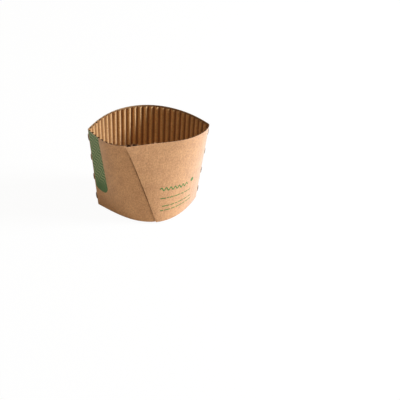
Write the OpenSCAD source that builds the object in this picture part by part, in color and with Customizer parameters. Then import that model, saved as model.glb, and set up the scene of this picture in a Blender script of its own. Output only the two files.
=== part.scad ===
// A sleeve for a hot paper cup, glued into a loop from one folded blank of single-face
// corrugated board. It stands on its narrow edge, with its seam toward -Y and a fold at each
// end of X. The smooth liner is outside and the flutes are inside.

/* [Panels] */
// Width of each panel along the rim, from fold to fold
rim_panel_w = 117; // [110:0.5:124]
// Width of each panel along the base, from fold to fold
base_panel_w = 103; // [97:0.5:107]
// Height of the panels, along the board
panel_h = 65; // [60:0.5:70]
// Straight distance between the folds at the rim, as far as the sleeve is opened
rim_spread = 90.6; // [86:0.2:96]
// Straight distance between the folds at the base
base_spread = 76.8; // [73:0.2:82]
// Turn of the base against the rim, in degrees
base_turn = 2; // [0:0.5:4]

/* [Board] */
// Thickness of the smooth liner
liner_t = 0.4; // [0.3:0.05:0.6]
// Thickness of the fluted paper
medium_t = 0.3; // [0.2:0.05:0.4]
// Height of the flutes, with their paper
flute_h = 1.8; // [1.4:0.1:2.4]
// Distance from one flute to the next
flute_pitch = 4.4; // [3.6:0.1:5]
// Angle of the flutes to the middle line of the back panel, tops toward the left fold
flute_lean = 1; // [0:0.5:8]
// Height that is left of crushed flutes, with their paper
crushed_h = 0.4; // [0.4:0.05:0.6]
// Thickness of the glue between two layers
glue_t = 0.1; // [0.1:0.05:0.2]

/* [Seam] */
// Place of the seam along the rim, from the left fold
rim_seam_at = 40; // [35:0.5:45]
// Place of the seam along the base, from the left fold
base_seam_at = 52.5; // [48:0.5:58]
// Width of the glued overlap
overlap_w = 26; // [15:0.5:32]
// Width over which the covered end sinks under the other
sink_w = 9; // [5:0.5:14]
// Width of crushed board past the covered end
lap_crush_w = 5; // [5:0.5:12]

/* [Folds] */
// Slots along each fold
slot_count = 4; // [2:1:5]
// Length of a slot, along the fold
slot_l = 6; // [4:0.5:7]
// Width of a slot
slot_w = 0.9; // [0.6:0.1:1.4]
// Distance from the rim to the middle of the first slot
rim_slot_at = 6.5; // [5:0.5:9]
// Distance from the base to the middle of the last slot
base_slot_at = 7.8; // [5:0.5:9]
// Distance that the cut edges of a slot stand out
slot_flare = 0.3; // [0:0.05:0.5]
// Width of crushed board on each side of a fold
fold_crush_w = 3; // [2:0.5:5]

/* [Print] */
// Width of the printed band
band_w = 14; // [10:0.1:18]
// Distance from the left fold to the band
band_gap = 1.4; // [1.2:0.1:5]
// Distance from the base to the lowest point of the band
band_base_at = 15; // [8:0.5:25]
// Rise of the band's rounded lower end, on the side of the fold
band_fold_rise = 2.5; // [1:0.5:6]
// Rise of the band's rounded lower end, on the side of the seam
band_seam_rise = 5; // [1:0.5:8]
// Thickness of the printed layer
print_t = 0.1; // [0.05:0.05:0.2]

/* [Nick] */
// Place of the torn nick along the rim, from the left fold
nick_at = 61.5; // [50:0.5:80]
// Width of the nick
nick_w = 0.9; // [0.6:0.1:1.5]
// Height of the nick above the rim
nick_h = 1.2; // [0.6:0.1:2]

/* [Hidden] */

// Bend at even places from the left fold to the right fold, where 1 is a curve's sharpest bend
front_rim_bend = [0, 0.2, 1, 0, 0, 0.4, 0.35, 0.85];
front_base_bend = [0, 0.3, 1, 0.35, 0.1];
back_bend = [0.1, 0.7, 1, 0.6, 0.3];
curve_steps = 60;
halvings = 30;
most_turn = 300;

// The blank is part of a flat ring about one far point
blank_angle = (rim_panel_w - base_panel_w) / panel_h * 180 / PI;
rim_r = rim_panel_w * panel_h / (rim_panel_w - base_panel_w);
base_r = rim_r - panel_h;
fold_z = sqrt(base_r ^ 2 - (base_spread / 2) ^ 2);

// Numbers of columns and rows of each mesh
left_columns = 20;
back_columns = 28;
right_columns = 22;
columns_per_flute = 5;
flute_rows = 4;
band_columns = 8;
band_rows = 6;
// Shortest stretch of a flute that is kept at a corner of the blank
flute_min_l = 1;
// Share of a panel that carries the rounded nose of a fold, on each side
nose = 0.01;
// Inward set of the nose where the board isn't slotted
nose_inset = 0.3;
// Clearance between the crushed flutes of one end and the liner of the other
lap_gap = 0.15;
// Depth of the covered end's liner below the uncovered one
lap_step = liner_t + glue_t + crushed_h + lap_gap;
// Place of the band's lowest point across its width, and the shape of its lower end
band_tip_at = 0.6;
band_end_power = 2.5;
slot_pitch = (panel_h - rim_slot_at - base_slot_at) / (slot_count - 1);
// Reach of a slot's cutter to each side of the fold
slot_reach = 3;

function mix(a, b, t) = a + (b - a) * t;
function smooth(t) = let (s = min(max(t, 0), 1)) s * s * (3 - 2 * s);
function unit(p) = p / norm(p);
function total(v, i = 0) = i < len(v) ? v[i] + total(v, i + 1) : 0;
function last(v) = v[len(v) - 1];
function along(v, t) = let (f = t * (len(v) - 1), i = min(max(floor(f), 0), len(v) - 2))
    mix(v[i], v[i + 1], f - i);

// Path of a strip of paper that turns by an angle, shared out by its bend
function paper_path(length, bend, turn) = let (
    shares = [for (i = [0:curve_steps - 1]) along(bend, (i + 0.5) / curve_steps)],
    turns = shares * turn / total(shares)
) [for (i = 0, p = [0, 0], a = -turns[0] / 2;
        i <= curve_steps;
        p = p + [cos(a), sin(a)] * length / curve_steps,
        a = a - (turns[min(i, curve_steps - 1)] + turns[min(i + 1, curve_steps - 1)]) / 2,
        i = i + 1) p];

// Turn at which the ends of the strip are the wanted distance apart
function fitting_turn(length, spread, bend, low, high, n) = let (mid = (low + high) / 2)
    n == 0 ? mid
    : norm(last(paper_path(length, bend, mid))) > spread
        ? fitting_turn(length, spread, bend, mid, high, n - 1)
        : fitting_turn(length, spread, bend, low, mid, n - 1);

// Edge of a panel seen from above, from the left fold to the right one
function panel_edge(length, spread, bend, side, spin) = let (
    turn = fitting_turn(length, spread, bend, 0, most_turn, halvings),
    path = paper_path(length, bend, turn),
    end = last(path),
    skew = atan2(end.y, end.x)
) [for (p = path) let (
    x = p.x * cos(skew) + p.y * sin(skew) - spread / 2,
    y = side * (p.y * cos(skew) - p.x * sin(skew))
) [x * cos(spin) - y * sin(spin), x * sin(spin) + y * cos(spin)]];

// An edge in space: all of its points are equally far from the blank's far point
function raised(edge, radius) = [for (p = edge) [p.x, p.y, sqrt(radius ^ 2 - p * p) - fold_z]];

front_rim = raised(panel_edge(rim_panel_w, rim_spread, front_rim_bend, -1, 0), rim_r);
back_rim = raised(panel_edge(rim_panel_w, rim_spread, back_bend, 1, 0), rim_r);
front_base = raised(panel_edge(base_panel_w, base_spread, front_base_bend, -1, base_turn), base_r);
back_base = raised(panel_edge(base_panel_w, base_spread, back_bend, 1, base_turn), base_r);

// The strip is measured in panel widths from the left fold: the front panel's left part is
// below 0, the back panel runs from 0 to 1, and the front panel's right part is above 1.
// Height is measured in shares of the panel's height, from the base.
function strip_point(t, v) =
    t < 0 ? mix(along(front_base, -t), along(front_rim, -t), v)
    : t <= 1 ? mix(along(back_base, t), along(back_rim, t), v)
    : mix(along(front_base, 2 - t), along(front_rim, 2 - t), v);
function panel_w(v) = mix(base_panel_w, rim_panel_w, v);
function seam_share(v) = mix(base_seam_at / base_panel_w, rim_seam_at / rim_panel_w, v);
function strip_start(v) = -seam_share(v) - overlap_w / panel_w(v);
function strip_end(v) = 2 - seam_share(v);

// Inward direction of the board, level, from two points along it
function inward(a, b) = unit([b.y - a.y, a.x - b.x, 0]);
function inward_at(t, v) = inward(strip_point(t - nose, v), strip_point(t + nose, v));

// Depth of the liner's outer face below the panel: the covered end sinks at the seam
function sunk(t, v) = lap_step * smooth((-t - seam_share(v)) * panel_w(v) / sink_w + 1);

// Faces of a closed sheet whose two sides are grids of the same size
function sheet_faces(rows, cols) = let (
    far = rows * cols,
    at = function (r, c) r * cols + c
) concat(
    [for (r = [0:rows - 2], c = [0:cols - 2], f = [
        [at(r, c), at(r + 1, c), at(r + 1, c + 1)],
        [at(r, c), at(r + 1, c + 1), at(r, c + 1)],
        [far + at(r, c), far + at(r + 1, c + 1), far + at(r + 1, c)],
        [far + at(r, c), far + at(r, c + 1), far + at(r + 1, c + 1)]]) f],
    [for (c = [0:cols - 2], f = [
        [at(0, c), at(0, c + 1), far + at(0, c + 1)],
        [at(0, c), far + at(0, c + 1), far + at(0, c)],
        [at(rows - 1, c), far + at(rows - 1, c + 1), at(rows - 1, c + 1)],
        [at(rows - 1, c), far + at(rows - 1, c), far + at(rows - 1, c + 1)]]) f],
    [for (r = [0:rows - 2], f = [
        [at(r, 0), far + at(r + 1, 0), at(r + 1, 0)],
        [at(r, 0), far + at(r, 0), far + at(r + 1, 0)],
        [at(r, cols - 1), at(r + 1, cols - 1), far + at(r + 1, cols - 1)],
        [at(r, cols - 1), far + at(r + 1, cols - 1), far + at(r, cols - 1)]]) f]);

module sheet(outer, inner) polyhedron(
    [for (side = [inner, outer], row = side, p = row) p],
    sheet_faces(len(outer), len(outer[0])));

// Slots
function slot_middle(i) = (base_slot_at + i * slot_pitch) / panel_h;
slot_half = slot_l / 2 / panel_h;

// Rows of the liner, each with the inward set of its fold's nose: the two edges, both ends of
// each slot, where the nose stands out, and the bridges between the slots
liner_rows = concat(
    [[0, nose_inset]],
    [for (i = [0:slot_count - 1], row = concat(
        i > 0 ? [[slot_middle(i - 0.5), nose_inset]] : [],
        [for (end = [-1, 1]) [slot_middle(i) + end * slot_half, -slot_flare]])) row],
    [[1, nose_inset]]);

module slots() {
    for (t = [0, 1], i = [0:slot_count - 1]) {
        low = strip_point(t, 0);
        rise = strip_point(t, 1) - low;
        face = inward_at(t, slot_middle(i));
        side = face.x * rise.y - face.y * rise.x;
        translate(low + rise * slot_middle(i))
            rotate([-asin(side / norm(rise)), atan2(rise * face, rise.z), atan2(face.y, face.x)])
                cube([slot_reach * 2, slot_w, slot_l], center = true);
    }
}

// Liner
function column_places(v) = concat(
    [for (i = [0:left_columns]) mix(strip_start(v), -nose, i / left_columns)],
    [0],
    [for (i = [0:back_columns]) mix(nose, 1 - nose, i / back_columns)],
    [1],
    [for (i = [0:right_columns]) mix(1 + nose, strip_end(v), i / right_columns)]);

// One side of the liner, at a depth below its outer face
function liner_side(depth) = [for (row = liner_rows) liner_points(row[0], row[1], depth)];
function liner_points(v, nose_set, depth) = let (
    places = column_places(v),
    points = [for (t = places) strip_point(t, v)],
    n = len(points)
) [for (i = [0:n - 1]) let (
    before = inward(points[max(i - 1, 0)], points[max(i, 1)]),
    after = inward(points[min(i, n - 2)], points[min(i + 1, n - 1)]),
    miter = (before + after) / (1 + before * after),
    set = places[i] == 0 || places[i] == 1 ? nose_set : 0
) points[i] + miter * (depth + sunk(places[i], v) + set)];

module nick() {
    place = 2 - nick_at / rim_panel_w;
    face = inward_at(place, 1);
    translate(strip_point(place, 1) + face * liner_t / 2)
        rotate([0, 0, atan2(face.y, face.x)])
            cube([liner_t, nick_w, nick_h * 2], center = true);
}

// Flutes: straight parallel lines on the flat blank
flute_along = [-sin(flute_lean), cos(flute_lean)];
flute_across = [cos(flute_lean), sin(flute_lean)];
function blank_point(t, v) = let (a = (t - 0.5) * blank_angle, r = mix(base_r, rim_r, v))
    [r * sin(a), r * cos(a)];
function cross_2d(a, b) = a.x * b.y - a.y * b.x;

// Place along a flute's line where it meets the cut end of the blank
function cut_place(x, low, high) =
    -cross_2d(flute_across * x - low, high - low) / cross_2d(flute_along, high - low);

// Stretch of a flute's line that lies on the blank
function flute_span(x) = let (
    start_low = blank_point(strip_start(0), 0),
    start_high = blank_point(strip_start(1), 1),
    end_low = blank_point(strip_end(0), 0),
    end_high = blank_point(strip_end(1), 1),
    start_cut = cut_place(x, start_low, start_high),
    end_cut = cut_place(x, end_low, end_high),
    enters_start = cross_2d(start_high - start_low, flute_along) < 0,
    enters_end = cross_2d(end_high - end_low, flute_along) > 0,
    low = sqrt(base_r ^ 2 - x ^ 2),
    high = sqrt(rim_r ^ 2 - x ^ 2)
) [
    max([low, enters_start ? start_cut : low, enters_end ? end_cut : low]),
    min([high, enters_start ? high : start_cut, enters_end ? high : end_cut])
];

// Height of the flutes at a place, with their paper
function flute_height(t, v) = let (
    fold_gap = min(abs(t), abs(t - 1)) * panel_w(v),
    lap_past = (strip_start(v) + 2 - t) * panel_w(v) - lap_crush_w,
    full = min(smooth((fold_gap - nose * panel_w(v)) / fold_crush_w), smooth(lap_past / fold_crush_w))
) mix(crushed_h, flute_h, full);

// Depth of the flutes' base below the outer face of the panel
function flute_base(t, v) = let (
    fold_gap = min(abs(t), abs(t - 1)) * panel_w(v)
) sunk(t, v) + liner_t + glue_t + nose_inset * (1 - smooth(fold_gap / fold_crush_w));

flute_step = flute_pitch / columns_per_flute;
// Twice the plain wave's height at its highest column
flute_crest = 1 - cos(360 * floor(columns_per_flute / 2) / columns_per_flute);
flute_corners = [for (v = [0, 1], t = [strip_start(v), strip_end(v)]) blank_point(t, v) * flute_across];
flute_lines = [
    for (i = [ceil(min(flute_corners) / flute_step):floor(max(flute_corners) / flute_step)])
        let (span = flute_span(i * flute_step))
            if (span[1] - span[0] > flute_min_l) [i, span]];

// Point of the fluted paper: side 0 faces the liner and side 1 faces the cup
function flute_point(line, share, side) = let (
    p = flute_across * line[0] * flute_step + flute_along * mix(line[1][0], line[1][1], share),
    t = atan2(p.x, p.y) / blank_angle + 0.5,
    v = (norm(p) - base_r) / panel_h,
    wave = (1 - cos(360 * line[0] / columns_per_flute)) / flute_crest,
    lift = wave * (flute_height(t, v) - medium_t) + side * medium_t
) strip_point(t, v) + inward_at(t, v) * (flute_base(t, v) + lift);

function flute_side(side) = [for (r = [0:flute_rows])
    [for (line = flute_lines) flute_point(line, r / flute_rows, side)]];

// Printed band
function band_low(w) = (band_base_at + (w < band_tip_at
    ? band_fold_rise * (1 - w / band_tip_at) ^ band_end_power
    : band_seam_rise * ((w - band_tip_at) / (1 - band_tip_at)) ^ band_end_power)) / panel_h;
function band_point(w, share, lift) = let (
    v = mix(band_low(w), 1, share),
    t = -(band_gap + band_w * w) / panel_w(v)
) strip_point(t, v) + inward_at(t, v) * (sunk(t, v) - lift);
function band_side(lift) = [for (r = [0:band_rows])
    [for (c = [0:band_columns]) band_point(1 - c / band_columns, r / band_rows, lift)]];

// Stance: the sleeve leans back until it rests on its folds and the middle of its back
outer_face = liner_side(0);
back_middle = strip_point(0.5, 0);
lean_back = atan2(back_middle.z, back_middle.y);
function leaned(p) = [
    p.x,
    p.y * cos(lean_back) + p.z * sin(lean_back),
    p.z * cos(lean_back) - p.y * sin(lean_back)];
leaned_face = [for (row = outer_face, p = row) leaned(p)];
face_x = [for (p = leaned_face) p.x];
face_y = [for (p = leaned_face) p.y];
face_z = [for (p = leaned_face) p.z];
middle_x = (min(face_x) + max(face_x)) / 2;
middle_y = (min(face_y) + max(face_y)) / 2;

module standing() {
    translate([-middle_x, -middle_y, -min(face_z)])
        rotate([-lean_back, 0, 0])
            children();
}

module liner() {
    color("#b98a5a")
        standing()
            difference() {
                union() {
                    sheet(outer_face, liner_side(liner_t));
                    nick();
                }
                slots();
            }
}

module fluting() {
    color("#d0a070")
        standing()
            difference() {
                sheet(flute_side(0), flute_side(1));
                slots();
            }
}

module print_band() {
    color("#4f8a55")
        standing()
            sheet(band_side(print_t + glue_t), band_side(glue_t));
}

liner();
fluting();
print_band();
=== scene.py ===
"""Looks of a corrugated sleeve for a hot paper cup.

The sleeve is one folded blank of single-face corrugated board, glued into a loop. The smooth
liner is outside and carries green ink. The fluted paper is inside. Every size is in
millimetres until a mesh is made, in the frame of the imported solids.
"""

from __future__ import annotations

import logging
import math
from dataclasses import dataclass, field, replace
from enum import Enum

import bmesh
import bpy
import numpy as np
from mathutils import Matrix, Vector

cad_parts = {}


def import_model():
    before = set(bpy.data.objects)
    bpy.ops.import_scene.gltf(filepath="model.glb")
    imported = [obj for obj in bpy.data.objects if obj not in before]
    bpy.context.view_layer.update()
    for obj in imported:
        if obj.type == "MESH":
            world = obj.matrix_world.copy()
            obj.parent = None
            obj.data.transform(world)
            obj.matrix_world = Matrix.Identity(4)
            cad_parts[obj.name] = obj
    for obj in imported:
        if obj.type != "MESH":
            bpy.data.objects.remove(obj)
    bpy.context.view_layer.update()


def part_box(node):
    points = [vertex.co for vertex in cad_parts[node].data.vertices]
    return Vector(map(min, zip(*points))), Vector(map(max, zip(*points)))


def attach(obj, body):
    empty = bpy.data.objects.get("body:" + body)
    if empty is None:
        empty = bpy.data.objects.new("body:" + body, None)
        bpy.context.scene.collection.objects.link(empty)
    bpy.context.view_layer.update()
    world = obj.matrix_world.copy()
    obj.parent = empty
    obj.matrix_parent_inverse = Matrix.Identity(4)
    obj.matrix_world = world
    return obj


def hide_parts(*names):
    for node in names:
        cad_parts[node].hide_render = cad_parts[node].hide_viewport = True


LOG = logging.getLogger("cup_sleeve")
MM = 0.001
BODY = "root"
BLANK_UV = "blank"
WHITE = "#ffffff"

Array = np.ndarray
Material = bpy.types.Material
Piece = bpy.types.Object
Socket = bpy.types.NodeSocket
Tree = bpy.types.NodeTree


class Cell(Enum):
    """What a cell of a sheet's grid is.

    An open cell is a hole. A joined one has no width, as both its sides are one line of paper.
    """

    OPEN = 0
    PAPER = 1
    JOINED = 2


def smooth(x: Array) -> Array:
    """Return a soft step from 0 at 0 to 1 at 1."""
    s = np.clip(x, 0.0, 1.0)
    return s * s * (3.0 - 2.0 * s)


def mix(a: Array, b: Array, share: Array) -> Array:
    """Return the point between a and b at a share of the way."""
    return a + (b - a) * share


def unit(vectors: Array, axis: int = -1) -> Array:
    """Return vectors scaled to a length of 1."""
    return vectors / np.linalg.norm(vectors, axis=axis, keepdims=True)


def linear(hex_colour: str, alpha: float = 1.0) -> tuple[float, float, float, float]:
    """Turn an sRGB colour into linear values.

    Args:
        hex_colour: the colour as "#rrggbb".
        alpha: the opacity.

    Returns:
        The red, green, blue and alpha values.
    """
    channels = [int(hex_colour[i:i + 2], 16) / 255.0 for i in (1, 3, 5)]
    r, g, b = (c / 12.92 if c <= 0.04045 else ((c + 0.055) / 1.055) ** 2.4 for c in channels)
    return (r, g, b, alpha)


@dataclass(frozen=True)
class Edge:
    """An edge of the strip: places t, with their points and level inward directions."""

    t: Array
    points: Array
    inward: Array

    def read(self, t: Array, vectors: Array) -> Array:
        """Return the edge's points or directions, read at other places."""
        return np.stack([np.interp(t, self.t, column) for column in vectors.T], -1)


@dataclass
class Loop:
    """The loop that the blank is bent into.

    A place on it is t, in panel widths from the left fold, and v, in shares of the height from
    the base. The front panel's left part is below 0, the back panel runs from 0 to 1, and the
    front panel's right part is above 1.
    """

    # A panel's width along the rim and along the base, and its height
    rim_panel_w: float = 117.0
    base_panel_w: float = 103.0
    panel_h: float = 65.0
    # Straight distances between the folds, and how much the base is turned, in degrees
    rim_spread: float = 90.6
    base_spread: float = 76.8
    base_turn: float = 2.0
    # The seam's distances from the left fold, and the width of the covered end
    rim_seam_at: float = 40.0
    base_seam_at: float = 52.5
    overlap_w: float = 26.0
    # Bend of each panel at even places across it, where 1 is the sharpest
    front_rim_bend: tuple[float, ...] = (0, 0.2, 1, 0, 0, 0.4, 0.35, 0.85)
    front_base_bend: tuple[float, ...] = (0, 0.3, 1, 0.35, 0.1)
    back_bend: tuple[float, ...] = (0.1, 0.7, 1, 0.6, 0.3)
    # How far the folds' sharpness is spread, which rounds their noses
    nose_soft: float = 0.55
    # Steps along a panel's edge, and how its turn is searched for: halvings, and the most degrees
    curve_steps: int = 600
    halvings: int = 40
    most_turn: float = 300.0
    # Places that take in the whole uncovered outside, and the rows and columns read there
    outside: tuple[float, float] = (-0.3, 1.6)
    outside_rows: int = 9
    outside_columns: int = 900
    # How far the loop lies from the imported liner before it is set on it, in millimetres
    shift: Array = field(default_factory=lambda: np.zeros(3))

    def __post_init__(self) -> None:
        """Work out the blank's ring and the two edges of the strip."""
        self.blank_angle = (self.rim_panel_w - self.base_panel_w) / self.panel_h
        self.base_r = self.base_panel_w / self.blank_angle
        self.rim_r = self.base_r + self.panel_h
        self.fold_z = math.sqrt(self.base_r ** 2 - (self.base_spread / 2) ** 2)
        rim = (self.rim_panel_w, self.rim_spread)
        base = (self.base_panel_w, self.base_spread)
        self.rim = self.strip_edge(rim, self.front_rim_bend, 0.0, self.rim_r)
        self.base = self.strip_edge(base, self.front_base_bend, self.base_turn, self.base_r)
        middle = self.level_point(np.array(0.5), np.array(0.0))
        self.lean_back = math.atan2(middle[2], middle[1])

    def paper_path(self, length: float, bend: tuple[float, ...], turn: float) -> Array:
        """Return the path of paper that turns by an angle, shared out by its bend.

        Args:
            length: the length of the paper.
            bend: the bend at even places, where 1 is the sharpest.
            turn: the whole turn in degrees.

        Returns:
            The points of the path, which starts along X.
        """
        places = (np.arange(self.curve_steps) + 0.5) / self.curve_steps
        shares = np.interp(places, np.linspace(0, 1, len(bend)), bend)
        turns = np.radians(turn) * shares / shares.sum()
        heading = -(np.cumsum(turns) - turns / 2)
        steps = np.stack([np.cos(heading), np.sin(heading)], -1) * length / self.curve_steps
        return np.vstack([[0.0, 0.0], np.cumsum(steps, axis=0)])

    def panel_edge(self, size: tuple[float, float], bend: tuple[float, ...], side: int,
                   spin: float) -> Array:
        """Return a panel's edge seen from above, from the left fold to the right one.

        Args:
            size: the width along the paper, and the straight distance between the folds.
            bend: the bend at even places.
            side: 1 where it bulges to the back, -1 where it bulges to the front.
            spin: the turn of the whole edge in degrees.

        Returns:
            The points of the edge.
        """
        length, spread = size
        low, high = 0.0, self.most_turn
        for _ in range(self.halvings):
            turn = (low + high) / 2
            if np.hypot(*self.paper_path(length, bend, turn)[-1]) > spread:
                low = turn
            else:
                high = turn
        path = self.paper_path(length, bend, turn)
        skew = math.atan2(path[-1, 1], path[-1, 0])
        x = path[:, 0] * math.cos(skew) + path[:, 1] * math.sin(skew) - spread / 2
        y = side * (path[:, 1] * math.cos(skew) - path[:, 0] * math.sin(skew))
        a = math.radians(spin)
        return np.stack([x * math.cos(a) - y * math.sin(a), x * math.sin(a) + y * math.cos(a)], -1)

    def strip_edge(self, size: tuple[float, float], front_bend: tuple[float, ...], spin: float,
                   radius: float) -> Edge:
        """Return one edge of the whole strip, with softened folds.

        Args:
            size: the panel's width and the distance between the folds.
            front_bend: the bend of the front panel.
            spin: the turn of the edge in degrees.
            radius: the distance of the edge from the blank's far point.

        Returns:
            The edge.
        """
        back = self.panel_edge(size, self.back_bend, 1, spin)
        front = self.panel_edge(size, front_bend, -1, spin)
        outline = np.vstack([front[:0:-1], back, front[-2::-1]])
        t = np.linspace(-1.0, 2.0, len(outline))
        spacing = size[0] / self.curve_steps
        reach = int(3 * self.nose_soft / spacing)
        weights = np.exp(-0.5 * (np.arange(-reach, reach + 1) * spacing / self.nose_soft) ** 2)
        weights /= weights.sum()
        padded = np.pad(outline, ((reach, reach), (0, 0)), mode="edge")
        soft = np.stack([np.convolve(padded[:, k], weights, "valid") for k in range(2)], -1)
        z = np.sqrt(radius ** 2 - (soft ** 2).sum(-1)) - self.fold_z
        along = np.gradient(soft, axis=0)
        inward = unit(np.stack([along[:, 1], -along[:, 0], 0 * z], -1))
        return Edge(t, np.column_stack([soft, z]), inward)

    def panel_w(self, v: Array) -> Array:
        """Return the width of a panel at a height."""
        return mix(self.base_panel_w, self.rim_panel_w, v)

    def seam_share(self, v: Array) -> Array:
        """Return the seam's place in panel widths from the left fold."""
        return mix(self.base_seam_at / self.base_panel_w, self.rim_seam_at / self.rim_panel_w, v)

    def start(self, v: Array) -> Array:
        """Return the place of the covered end."""
        return -self.seam_share(v) - self.overlap_w / self.panel_w(v)

    def end(self, v: Array) -> Array:
        """Return the place of the seam's free edge."""
        return 2.0 - self.seam_share(v)

    def level_point(self, t: Array, v: Array) -> Array:
        """Return the point of a place before the sleeve leans back."""
        low, high = (edge.read(t, edge.points) for edge in (self.base, self.rim))
        return mix(low, high, v[..., None])

    def inward(self, t: Array, v: Array) -> Array:
        """Return the level inward direction at a place."""
        low, high = (edge.read(t, edge.inward) for edge in (self.base, self.rim))
        return unit(mix(low, high, v[..., None]))

    def standing(self, points: Array) -> Array:
        """Return points as they stand: leaned back and set over the origin.

        Args:
            points: the points before the sleeve leans back.

        Returns:
            The standing points.
        """
        c, s = math.cos(self.lean_back), math.sin(self.lean_back)
        x, y, z = np.moveaxis(points, -1, 0)
        return np.stack([x, y * c + z * s, z * c - y * s], -1) - self.shift

    def at_depth(self, t: Array, v: Array, depth: Array) -> Array:
        """Return the standing point of a place, at a depth below the panel."""
        return self.standing(self.level_point(t, v) + self.inward(t, v) * depth[..., None])

    def blank_point(self, t: Array, v: Array) -> Array:
        """Return places on the flat blank, whose far point is the origin.

        Args:
            t: the places along the strip.
            v: the heights.

        Returns:
            The flat points in millimetres.
        """
        angle = (np.asarray(t) - 0.5) * self.blank_angle
        r = mix(self.base_r, self.rim_r, v)
        return np.stack([r * np.sin(angle), r * np.cos(angle)], -1)

    def blank_uv(self, t: Array, v: Array) -> Array:
        """Return places on the flat blank in metres, from the middle of the back panel's base."""
        return (self.blank_point(t, v) - np.array([0.0, self.base_r])) * MM

    def place_on_blank(self, p: Array) -> tuple[Array, Array]:
        """Return the t and v of points on the flat blank."""
        t = np.arctan2(p[..., 0], p[..., 1]) / self.blank_angle + 0.5
        return t, (np.linalg.norm(p, axis=-1) - self.base_r) / self.panel_h

    def fold_gap(self, t: Array, v: Array) -> Array:
        """Return the distance along the paper to the nearer fold."""
        return np.minimum(np.abs(t), np.abs(t - 1.0)) * self.panel_w(v)

    def past_seam(self, t: Array, v: Array) -> Array:
        """Return the distance along the paper past the seam, into the covered end."""
        return (-t - self.seam_share(v)) * self.panel_w(v)

    def fit_to(self, low: Vector, high: Vector) -> None:
        """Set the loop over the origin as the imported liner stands.

        Args:
            low: the liner's lowest corner in metres.
            high: its highest corner in metres.
        """
        heights = np.linspace(0, 1, self.outside_rows)
        places = np.linspace(*self.outside, self.outside_columns)
        v, t = np.meshgrid(heights, places, indexing="ij")
        outline = self.at_depth(t, v, 0 * t).reshape(-1, 3)
        own_low, own_high = outline.min(0), outline.max(0)
        packed_middle = (np.array(low) + np.array(high)) / 2 / MM
        self.shift = (own_low + own_high) / 2 - packed_middle
        self.shift[2] = own_low[2] - low[2] / MM


@dataclass(frozen=True)
class Slots:
    """The row of slots along each fold, cut so that the board folds sharply there."""

    count: int = 4
    length: float = 6.0
    width: float = 0.9
    # Distances from the edges to the middles of the first and the last slot
    rim_at: float = 6.5
    base_at: float = 7.8
    # Power of a slot's rounded ends, where 0.5 makes an ellipse and less is blunter
    end_power: float = 0.35
    # Share of a slot's width that is cut from the front panel
    front_share: float = 0.85
    # Distance that the back panel's cut edges stand out, and over which they settle back
    back_flare: float = 0.6
    flare_reach: float = 1.3
    # Distance that the creased bridges are set in, and over which the crease fades
    crease: float = 0.1
    crease_reach: float = 0.8
    # Distance over which the paper beside a slot gives way to it
    spread_reach: float = 1.2
    # Share of a panel's width past which it no longer does
    spread_most: float = 0.2

    def cut_w(self, t: Array) -> Array:
        """Return the width that a slot takes from the panel at a place."""
        in_front = (t < 0) | (t > 1)
        return self.width * np.where(in_front, self.front_share, 1 - self.front_share)

    def openness(self, height: Array, panel_h: float) -> Array:
        """Return how open the fold is at a height.

        Args:
            height: the height above the base in millimetres.
            panel_h: the panel's height.

        Returns:
            Shares from 0 on a bridge to 1 in the middle of a slot.
        """
        middles = np.linspace(self.base_at, panel_h - self.rim_at, self.count)
        gap = np.abs(np.asarray(height)[..., None] - middles).min(-1) / (self.length / 2)
        return np.clip(1.0 - gap ** 2, 0.0, 1.0) ** self.end_power


@dataclass(frozen=True)
class Board:
    """Single-face corrugated board: a smooth liner with fluted paper glued to one side."""

    # Thickness of the papers, and the height of the flutes with their paper and their spacing
    liner_t: float = 0.26
    medium_t: float = 0.2
    flute_h: float = 1.65
    pitch: float = 4.4
    # Lean of the flutes in degrees
    lean: float = 1.0
    # Height of crushed flutes, thickness of the glue, and play between the layers of the lap
    crushed_h: float = 0.3
    glue_t: float = 0.08
    lap_gap: float = 0.08
    # Distances before the lap over which the panel sinks, and from which the flutes are crushed
    sink_w: float = 28.0
    lap_crush_w: float = 5.0
    # Distances beside a fold where the flutes lie flat, and over which they rise again
    fold_flat_w: float = 1.0
    fold_crush_w: float = 1.6
    # Extra depth of the crushed flutes in a fold's nose
    nose_inset: float = 0.3
    # Steepness of the flutes' flanks, and how much broader the ridges are than the valleys
    steep: float = 0.6
    broad: float = 0.1
    # Share of the flutes' height by which single flutes differ
    uneven: float = 0.05
    # Dents along a flute, as a share of that difference, and the length of paper between them
    dent: float = 0.5
    dent_l: float = 4.0
    # Sideways wander of a flute, and the length of paper over which it wanders
    wander: float = 0.07
    wander_l: float = 7.0
    # Height to which the flutes show through the liner
    show_through: float = 0.02

    @property
    def lap_step(self) -> float:
        """Depth of the covered end's liner below the uncovered one."""
        return self.liner_t + self.glue_t + self.crushed_h + self.lap_gap

    @property
    def across(self) -> Array:
        """Direction across the flutes on the flat blank."""
        a = math.radians(self.lean)
        return np.array([math.cos(a), math.sin(a)])

    @property
    def along(self) -> Array:
        """Direction along the flutes on the flat blank."""
        a = math.radians(self.lean)
        return np.array([-math.sin(a), math.cos(a)])


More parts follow.
